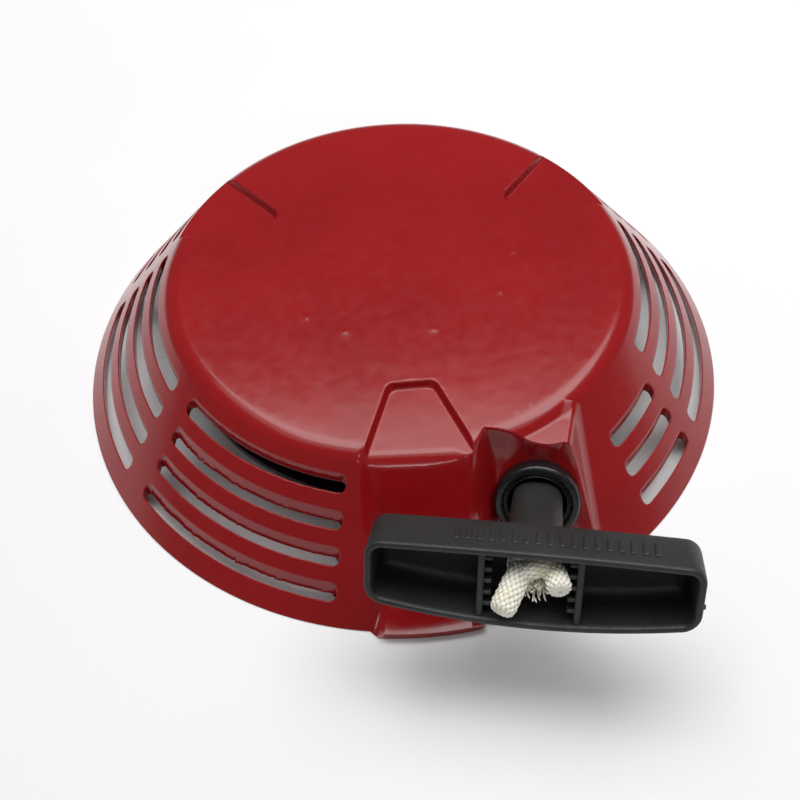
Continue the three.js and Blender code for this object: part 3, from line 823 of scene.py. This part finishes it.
def at_height(outline, z):
    return np.column_stack([outline, np.full(len(outline), z)])


def smooth_path(points, spacing):
    """Catmull-Rom curve through points, at an even spacing."""
    p = np.asarray(points, float)
    p = np.vstack([2 * p[0] - p[1], p, 2 * p[-1] - p[-2]])
    fine = []
    for a, b, c, d in zip(p, p[1:], p[2:], p[3:]):
        square, cube = 2 * a - 5 * b + 4 * c - d, 3 * b - a - 3 * c + d
        for t in np.linspace(0, 1, 40, endpoint=False):
            fine.append(0.5 * (2 * b + (c - a) * t + square * t**2 + cube * t**3))
    fine.append(p[-2])
    fine = np.array(fine)
    length = np.concatenate([[0], np.cumsum(np.linalg.norm(np.diff(fine, axis=0), axis=1))])
    at = np.linspace(0, length[-1], max(4, round(length[-1] / spacing)))
    return np.column_stack([np.interp(at, length, fine[:, k]) for k in range(3)]), at


def carried_frames(path):
    tangents = np.gradient(path, axis=0)
    tangents /= np.linalg.norm(tangents, axis=1)[:, None]
    side = np.cross(tangents[0], [0.3, 0.2, 0.9])
    sides = []
    for t in tangents:
        side = side - t * np.dot(side, t)
        side /= np.linalg.norm(side)
        sides.append(side)
    sides = np.array(sides)
    return sides, np.cross(tangents, sides)


def braid_mesh(points, radius, spacing=0.4, around=48, strands=8, lay=18.0, depth=0.2, swell=None):
    """A braided rope along a path: two sets of strands that cross."""
    path, at = smooth_path(points, spacing)
    u, v = carried_frames(path)
    phi = np.linspace(0, 2 * math.pi, around, endpoint=False)
    rows = []
    groove_shades = []
    for k, (centre, s) in enumerate(zip(path, at)):
        turn = 2 * math.pi * s / lay
        one = np.cos(strands * phi / 2 + turn * strands / 2)
        other = np.cos(strands * phi / 2 - turn * strands / 2)
        ridge = 0.9 * np.abs(one * other) ** 0.45
        over = 0.1 * np.sign(one * other)
        size = radius if swell is None else radius * np.interp(s / at[-1], *swell)
        r = size - depth + depth * (ridge + over)
        # depth of the groove at each point, kept to paint shade into the rope's grooves
        groove_shades.append(1 - ridge / 0.9)
        rows.append(centre + r[:, None] * (np.cos(phi)[:, None] * u[k] + np.sin(phi)[:, None] * v[k]))
    return (*loft_mesh(rows), np.concatenate(groove_shades))


def rope_piece(name, ropes):
    """One rope object from braided lengths, with the depth of its grooves kept to paint shade into them."""
    points, faces = joined([rope[:2] for rope in ropes])
    piece = make_piece(name, points, faces, ROPE, 60)
    depth = piece.data.attributes.new("groove_shade", "FLOAT", "POINT")
    depth.data.foreach_set("value", np.concatenate([rope[2] for rope in ropes]).astype(np.float32))
    return piece


def gripped(rope):
    return (in_grip(rope[0]), *rope[1:])


def joined(parts):
    """Several (points, faces) meshes as one."""
    points, faces, shift = [], [], 0
    for p, f in parts:
        points.append(np.asarray(p))
        faces += [tuple(i + shift for i in face) for face in f]
        shift += len(p)
    return np.vstack(points), faces


def united(piece, others, operation="UNION"):
    """Joins or cuts a piece with others, which are used up."""
    for other in others:
        change = piece.modifiers.new("join", "BOOLEAN")
        change.operation = operation
        change.solver = "MANIFOLD"
        change.object = other
    graph = bpy.context.evaluated_depsgraph_get()
    mesh = bpy.data.meshes.new_from_object(piece.evaluated_get(graph))
    piece.modifiers.clear()
    old, piece.data = piece.data, mesh
    bpy.data.meshes.remove(old)
    for other in others:
        bpy.data.objects.remove(other)
    mesh.polygons.foreach_set("use_smooth", [True] * len(mesh.polygons))
    mesh.set_sharp_from_angle(angle=math.radians(32))
    return piece


def stands_for(piece, body, slot, *nodes):
    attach(piece, body)
    if nodes:
        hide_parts(*nodes)
    return piece


# ----------------------------------------------------------------- frames in use
GUIDE_AXES = frame_axes(np.array([1.0, 0, 0]), PULL)
GRIP_AXES = np.array([
    math.cos(GRIP_ROLL) * GUIDE_AXES[0] + math.sin(GRIP_ROLL) * GUIDE_AXES[1],
    -math.sin(GRIP_ROLL) * GUIDE_AXES[0] + math.cos(GRIP_ROLL) * GUIDE_AXES[1],
    GUIDE_AXES[2],
])
GRIP_ORIGIN = GUIDE_FACE + PULL_TO_FACE * PULL


def in_grip(points):
    return placed(points, GRIP_AXES, GRIP_ORIGIN)


# ------------------------------------------------------------------------ guide
def rope_guide():
    outline = [
        (9.3, -1.5), (8.4, -5.4), (4.6, -6.6), (3.7, -7.4), (3.7, -8.8), (5.6, -10.1),
        (9.8, -10.1), (9.8, -5.3), (13.3, -5.3), (13.3, -0.6), (12.7, 0), (11.0, 0),
        (10.4, -1.3), (9.9, -1.3), (9.7, -0.5), (9.3, -0.5),
    ]
    points, faces = lathe_mesh(rounded(outline, 0.35), 120)
    piece = make_piece("guide_bush", placed(points, GUIDE_AXES, GUIDE_FACE), faces, GLOSSY)
    stands_for(piece, "housing", "black_plastic", "rope_guide")


# ----------------------------------------------------------------------- handle
def grip_outline():
    """Counter-clockwise: long sides bow outwards between rounded corners."""
    def bow(x0, y0, x1, y1, out):
        t = np.linspace(0, 1, 46)[:-1]
        mid = ((x0 + x1) / 2, (y0 + y1) / 2 + out)
        return np.column_stack([
            (1 - t) ** 2 * x0 + 2 * t * (1 - t) * mid[0] + t**2 * x1,
            (1 - t) ** 2 * y0 + 2 * t * (1 - t) * mid[1] + t**2 * y1,
        ])

    def corner(cx, cy, a0):
        a = np.linspace(a0, a0 + math.pi / 2, 13)
        return np.column_stack([cx + GRIP_CORNER * np.cos(a), cy + GRIP_CORNER * np.sin(a)])

    x, y = GRIP_HALF - GRIP_CORNER, GRIP_END - GRIP_CORNER
    shape = np.vstack([
        bow(-x, -GRIP_END, x, -GRIP_END, -GRIP_BOW - 0.5), corner(x, -y, -math.pi / 2),
        corner(x, y, 0), bow(x, GRIP_END, -x, GRIP_END, GRIP_BOW)[1:],
        corner(-x, y, math.pi / 2), corner(-x, -y, math.pi),
    ])
    keep = np.linalg.norm(shape - np.roll(shape, 1, 0), axis=1) > 1e-3
    shape = shape[keep]
    sag = GRIP_SAG * ((shape[:, 0] / 44) ** 2 - 0.35)
    return shape + np.column_stack([np.full(len(shape), GRIP_SHIFT), sag])


def block(low, high, edge=0.3):
    (x0, y0, z0), (x1, y1, z1) = low, high
    flat = rounded([(x0, y0), (x1, y0), (x1, y1), (x0, y1)], edge, 2)
    rings = [(inset(flat, edge), z0), (flat, z0 + edge), (flat, z1 - edge), (inset(flat, edge), z1)]
    return loft_mesh([at_height(shape, z) for shape, z in rings])


def cross_wall(x):
    """A wall across the grip with a row of teeth on its inner side."""
    parts = [block((x - 0.9, -12.0, -15.6), (x + 0.9, 11.0, -0.9), 0.35)]
    side = 1 if x < 0 else -1
    near, far = sorted((x + side * 0.4, x + side * 3.0))
    for row in range(-2, 3):
        y = row * 3.7 + 0.2
        parts.append(block((near, y - 0.65, -15.4), (far, y + 0.65, -2.2), 0.25))
    return parts


def grip_neck():
    sections = (
        (-16.2, 10.2, 9.6), (-17.6, 9.0, 8.6), (-20, 8.4, 8.0), (-30, 8.1, 7.6),
        (-47.6, 7.8, 7.4), (-48.6, 7.4, 7.0), (-49.0, 6.6, 6.2),
    )
    a = np.linspace(0, 2 * math.pi, 96, endpoint=False)
    flat = [np.sign(f(a)) * np.abs(f(a)) ** 0.72 for f in (np.cos, np.sin)]
    rings = [np.column_stack([wide * flat[0], high * flat[1], np.full(96, z)]) for z, wide, high in sections]
    return loft_mesh(rings[::-1])


def grip_rib(number):
    x = -21.5 + 3.2 * number
    t = ((x - GRIP_SHIFT) / 41) ** 2
    y = GRIP_END + GRIP_BOW * 0.5 * (1 - t) + GRIP_SAG * (0.87 * t - 0.35)
    return block((x - 0.75, y - 1.2, -11.5), (x + 0.75, y + 0.35, -5.0), 0.25)


def handle():
    shape = grip_outline()
    wall = [
        (-17.0, 2.4), (-16.9, 1.5), (-16.6, 0.85), (-16.1, 0.4), (-15.3, 0.12), (-14.2, 0.03), (-9, 0),
        (-1.3, 0), (-0.6, 0.1), (-0.2, 0.35), (0, 0.8), (0, 1.35), (-0.15, 1.8), (-0.6, 2.15), (-1.6, 2.3),
        (-10.5, 2.7), (-12.6, 3.1), (-14.0, 3.8), (-14.8, 4.8), (-15.0, 6.2),
    ]
    points, faces = loft_mesh([at_height(inset(shape, amount), z) for z, amount in wall])
    grip = make_piece("grip_body", in_grip(points), faces, GRIP, 32)
    end = GRIP_HALF + GRIP_SHIFT
    parts = [part for x in CROSS_WALLS for part in cross_wall(x)]
    parts.append(grip_neck())
    parts += [grip_rib(number) for number in range(GRIP_RIBS)]
    parts.append(block((end - 0.6, -1.6, -1.9), (end + 0.5, -0.2, -0.7), 0.3))
    united(grip, [make_piece("grip_part", in_grip(p), f, GRIP, 32) for p, f in parts])
    bore = lathe_mesh([(0.02, -50), (3.1, -50), (3.1, -12), (0.02, -12)], 48)
    cutter = make_piece("grip_bore", in_grip(bore[0]), bore[1], GRIP)
    united(grip, [cutter], "DIFFERENCE")
    grip.name = "handle_body"
    stands_for(grip, "handle", "grip_plastic", "handle_grip")


# ------------------------------------------------------------------------- rope
def rope_pieces():
    tip = ([0, 0.78, 0.9, 0.97, 1.0], [1, 1.04, 1.0, 0.76, 0.25])
    left = [(-3.2, 1.6, -6.0), (-4.6, 0.6, -3.2), (-6.1, -1.7, 0.4), (-8.2, -5.0, 4.9)]
    right = [(5.0, 3.6, -6.0), (6.2, 3.2, -3.2), (6.9, 2.6, -0.8), (7.5, 1.7, 1.9)]
    one = braid_mesh(left, 3.7, 0.15, 120, 12, 26, 0.6, tip)
    two = braid_mesh(right, 3.4, 0.15, 120, 12, 26, 0.55, tip)
    stands_for(rope_piece("rope_tail_left", [gripped(one)]), "handle", "rope", "rope_end_1")
    stands_for(rope_piece("rope_tail_right", [gripped(two)]), "handle", "rope", "rope_end_2")
    loop = [
        (4.6 * math.cos(a), 1.2 + 4.3 * math.sin(a), -9.6 + 1.1 * math.cos(a))
        for a in np.linspace(-0.4, 5.6, 14)
    ]
    over = [(-4.2, -2.8, -8.2), (-3.4, 0.4, -5.4), (-0.6, 3.8, -3.9), (2.6, 4.8, -4.6), (5.4, 3.2, -6.6)]
    knot = [braid_mesh(loop, 2.6, 0.35, 48, 8, 18, 0.4), braid_mesh(over, 2.7, 0.25, 64, 10, 20, 0.5)]
    strands = []
    for _ in range(26):
        a, b = rng.uniform(-0.9, 0.9), rng.uniform(-0.6, 0.6)
        x, y = rng.uniform(-3.6, 3.4), rng.uniform(-4.6, 0.2)
        path = [(x, y, -6.4), (x + a, y + b, -3.6), (x + 2.2 * a, y + 1.8 * b, -1.4 - rng.random())]
        strands.append(braid_mesh(path, 0.28, 0.5, 6, 2, 9, 0.0, ([0, 0.8, 1], [1, 1, 0.3])))
    stands_for(rope_piece("stopper_knot", [gripped(r) for r in knot]), "handle", "rope", "handle_knot")
    stands_for(rope_piece("rope_fray", [gripped(r) for r in strands]), "handle", "rope")
    held = braid_mesh([(0, 0, -48.8), (0, 0, -36), (0, 0, -24), (0, 0, -11.4)], 2.55, 0.5, 32)
    stands_for(rope_piece("rope_in_neck", [gripped(held)]), "handle", "rope", "handle_rope")


def rope_lead():
    lead_r = ROPE_OUTER_R + 3.2
    entry = GUIDE_FACE - PULL * (COLLAR_HEIGHT + 4.6 + 3)
    leave = math.atan2(entry[1], entry[0]) + math.acos(lead_r / math.hypot(entry[0], entry[1]))
    x, y = lead_r * math.cos(leave), lead_r * math.sin(leave)
    route = [
        (x, y, REEL_MID_Z), ((x * 2 + entry[0]) / 3, (y * 2 + entry[1]) / 3, REEL_MID_Z),
        ((x + entry[0] * 3) / 4, (y + entry[1] * 3) / 4, REEL_MID_Z - 0.6), tuple(entry),
        tuple(GUIDE_FACE - PULL * 6), tuple(GUIDE_FACE - PULL * 3.1),
    ]
    piece = rope_piece("rope_run", [braid_mesh(route, 2.6, 0.35, 48, depth=0.35)])
    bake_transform(piece)
    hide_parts("rope_lead")


def rope_wound():
    steps = 260
    points = []
    for i in range(steps + 1):
        t = i / steps
        a = -t * ROPE_TURNS * 2 * math.pi
        r = 47.2 + (60.2 - 47.2) * t
        z = REEL_MID_Z - 1.0 * math.cos(a / 2)
        points.append((r * math.cos(a), r * math.sin(a), z))
    winding = braid_mesh(points[::2], 2.5, 0.9, 24, 8, 18, 0.3)
    stands_for(rope_piece("rope_wound", [winding]), "reel", "rope", "rope_winding")


def reel():
    outline = rounded([
        (8, 16), (13, 16), (13, 24), (24.5, 24), (24.5, 16), (40, 16), (41, 17), (46, 17), (47, 16),
        (77.5, 16), (77.5, 18.6), (44, 18.6), (44, 26.8), (73, 26.8), (73, 28.8), (11, 28.8), (11, 40.5),
        (8, 40.5),
    ], 0.5)
    points, faces = lathe_mesh(outline, 144)
    wheel = make_piece("reel_body", points, faces, REEL, 32)
    ribs = []
    for k in range(18):
        mesh = block((50, -0.7, 14.9), (74, 0.7, 16.6), 0.3)
        a = k * 2 * math.pi / 18 + 0.1
        axes = np.array([[math.cos(a), math.sin(a), 0], [-math.sin(a), math.cos(a), 0], [0, 0, 1]])
        ribs.append(make_piece("rib", mesh[0] @ axes, mesh[1], REEL))
    united(wheel, ribs)
    holes = []
    for x, y, r, top in ((0, 31, 2.5, 23), (0, -31, 2.5, 23), (-49, 0, 3.4, 19.6)):
        mesh = lathe_mesh([(0.02, 15), (r, 15), (r, top), (0.02, top)], 40)
        holes.append(make_piece("hole", mesh[0] + np.array([x, y, 0]), mesh[1], REEL))
    united(wheel, holes, "DIFFERENCE")
    wheel.name = "reel_wheel"
    stands_for(wheel, "reel", "reel_plastic", "reel")


def posts():
    """The centre post and the three threaded feet inside the housing."""
    a = np.linspace(0, 2 * math.pi, 64, endpoint=False)
    circle = np.column_stack([np.cos(a), np.sin(a)])
    for number, angle in enumerate(PAD_ANGLES):
        centre = FOOT_R * np.array([math.cos(math.radians(angle)), math.sin(math.radians(angle))])
        rings = []
        for r, z in ((2.5, 13.0), (2.5, 0.7), (3.1, 0.0), (6.0, 0.0), (6.5, 0.5)):
            rings.append(at_height(centre + r * circle, z))
        for r in (6.5, 4.0, 0.5):
            xy = centre + r * circle
            rings.append(np.column_stack([xy, inside(xy[:, 0], xy[:, 1]) + 0.9]))
        points, faces = loft_mesh(rings)
        stands_for(make_piece(f"foot_post_{number + 1}", points, faces, RED), "housing", "red_enamel")
    outline = [
        (3.2, 6.6), (6.1, 6.6), (6.5, 7.0), (6.5, 41.2), (9.5, 43.2), (0.5, 43.2), (0.5, 30), (3.2, 30),
    ]
    points, faces = lathe_mesh(outline, 64)
    stands_for(make_piece("centre_post", points, faces, RED), "housing", "red_enamel")


def on_pivot(points, index):
    """Moves a pawl's own points to its pivot on the reel."""
    sign = 1 - 2 * index
    return (np.asarray(points) + [0, PAWL_R, 0]) * [sign, sign, 1]


def pawl_set(index):
    number = index + 1
    a = np.radians(np.linspace(80, 285, 30))
    round_end = 5.6 * np.column_stack([np.cos(a), np.sin(a)])
    tip = [(19, -3.2), (21.6, -0.6), (22, 0.5), (23, 5.2), (18, 4)]
    outline = rounded(np.vstack([round_end, tip]), 0.7, 2)
    low, high = PAWL_Z
    layers = [
        (0.5, low), (0.12, low + 0.15), (0, low + 0.5),
        (0, high - 0.5), (0.12, high - 0.15), (0.5, high),
    ]
    points, faces = loft_mesh([at_height(inset(outline, amount), z) for amount, z in layers])
    body = make_piece(f"pawl_body_{number}", on_pivot(points, index), faces, DARK, 32)
    hole = lathe_mesh([(0.02, low - 1), (2.5, low - 1), (2.5, high + 1), (0.02, high + 1)], 40)
    cutter = make_piece("pawl_hole", on_pivot(hole[0], index), hole[1], DARK)
    united(body, [cutter], "DIFFERENCE")
    stands_for(body, f"pawl_{number}", "dark_steel", f"pawl_{number}")
    profile_of_pin = [
        (0.02, 9.5), (3.5, 9.5), (3.9, 9.9), (3.9, 10.7), (2.2, 10.7), (2.2, 22.6), (0.02, 22.6),
    ]
    pin = lathe_mesh(rounded(profile_of_pin, 0.3), 48)
    head = make_piece(f"pawl_rivet_{number}", on_pivot(pin[0], index), pin[1], ZINC, 32)
    stands_for(head, "reel", "zinc_steel", f"pawl_pin_{number}")
    route = [(x, y, low - 0.7) for x, y in ((-9.5, -7.4), (-9, -1), (-7.4, 5), (0, 8), (9, 7), (16, 6.2))]
    wire = braid_mesh(route, 0.4, 0.5, 12, 2, 9, 0.0)
    spring = make_piece(f"pawl_wire_{number}", on_pivot(wire[0], index), wire[1], SPRING, 60)
    stands_for(spring, "reel", "spring_steel", f"pawl_spring_{number}")


def cam_and_screw():
    outline = rounded([
        (8.0, 7.7), (20.0, 7.7), (21.5, 6.6), (31, 6.6), (31, 8.0), (30.4, 8.7),
        (22.2, 8.7), (21.0, 9.0), (8.0, 9.0),
    ], 0.35)
    points, faces = lathe_mesh(outline, 120)
    cam = make_piece("cam_disc", points, faces, ZINC, 32)
    fingers, windows = [], []
    for sign in (1, -1):
        x, y = (sign * 28.5 * f(math.radians(60.8)) for f in (math.cos, math.sin))
        rod = lathe_mesh(rounded([(0.02, 7.6), (1.8, 7.6), (1.8, 14.8), (0.02, 14.8)], 0.4), 32)
        fingers.append(make_piece("finger", rod[0] + np.array([x, y, 0]), rod[1], ZINC))
        gap = lathe_mesh([(0.02, 5), (4.6, 5), (4.6, 11), (0.02, 11)], 40)
        windows.append(make_piece("window", gap[0] + np.array([sign * 18.0, 0, 0]), gap[1], ZINC))
    united(cam, fingers)
    united(cam, windows, "DIFFERENCE")
    stands_for(cam, "cam_plate", "zinc_steel", "cam_plate")
    flat = lathe_mesh(rounded([(3.3, 4.9), (13, 4.9), (13, 6.2), (3.3, 6.2)], 0.3), 96)
    stands_for(make_piece("washer", *flat, ZINC, 32), "housing", "zinc_steel", "screw_washer")
    shank_outline = [
        (0.02, 3.6), (7.6, 3.6), (7.6, 4.1), (7.2, 4.6), (2.9, 4.6), (2.9, 29.5), (0.02, 29.5),
    ]
    screw = make_piece("flange_screw", *lathe_mesh(rounded(shank_outline, 0.2), 64), ZINC, 32)
    a = np.radians(np.arange(0, 360, 60))
    hexagon = rounded(np.column_stack([np.cos(a), np.sin(a)]) * 6.4, 0.35, 2)
    levels = ((0.5, 1.7), (0.72, 1.5), (0.86, 1.2), (1.0, 1.75), (1.0, 3.8))
    head = loft_mesh([at_height(hexagon * k, z) for k, z in levels])
    united(screw, [make_piece("hex", *head, ZINC)])
    stands_for(screw, "housing", "zinc_steel", "centre_screw")
    coil = [
        (17 * math.cos(t), 17 * math.sin(t), 10 + 13 * t / (5 * math.pi))
        for t in np.linspace(0, 5 * math.pi, 60)
    ]
    wire = braid_mesh(coil, 0.7, 0.9, 14, 2, 9, 0.0)
    spring = make_piece("cam_wire", wire[0], wire[1], SPRING, 60)
    stands_for(spring, "reel", "spring_steel", "friction_spring")


def anchor_knot():
    turns = np.linspace(0, 4.6, 16)
    loop = [(-49 + 2.2 * math.cos(t), 2.2 * math.sin(t), 11.4 + 0.5 * t) for t in turns]
    knot = braid_mesh(loop, 1.9, 0.3, 40, 8, 16, 0.3)
    stands_for(rope_piece("anchor_knot", [knot]), "reel", "rope", "rope_anchor_knot")


def housing():
    stands_for(housing_piece(), "housing", "red_enamel", "housing")


NODE_LOOKS = {
    "red_enamel": RED, "black_plastic": BLACK, "grip_plastic": GRIP, "reel_plastic": REEL,
    "zinc_steel": ZINC, "spring_steel": SPRING, "dark_steel": DARK, "rope": ROPE,
}


def finish_nodes():
    slots = {s["node"]: s["material_slot"] for s in frame["record"]["subparts"]}
    for name, node in frame["nodes"].items():
        node.data.materials.clear()
        node.data.materials.append(NODE_LOOKS[slots[name]])


make_camera()
make_studio()
finish_nodes()
housing()
posts()
rope_guide()
handle()
rope_pieces()
rope_lead()
rope_wound()
reel()
for side in (0, 1):
    pawl_set(side)
cam_and_screw()
anchor_knot()
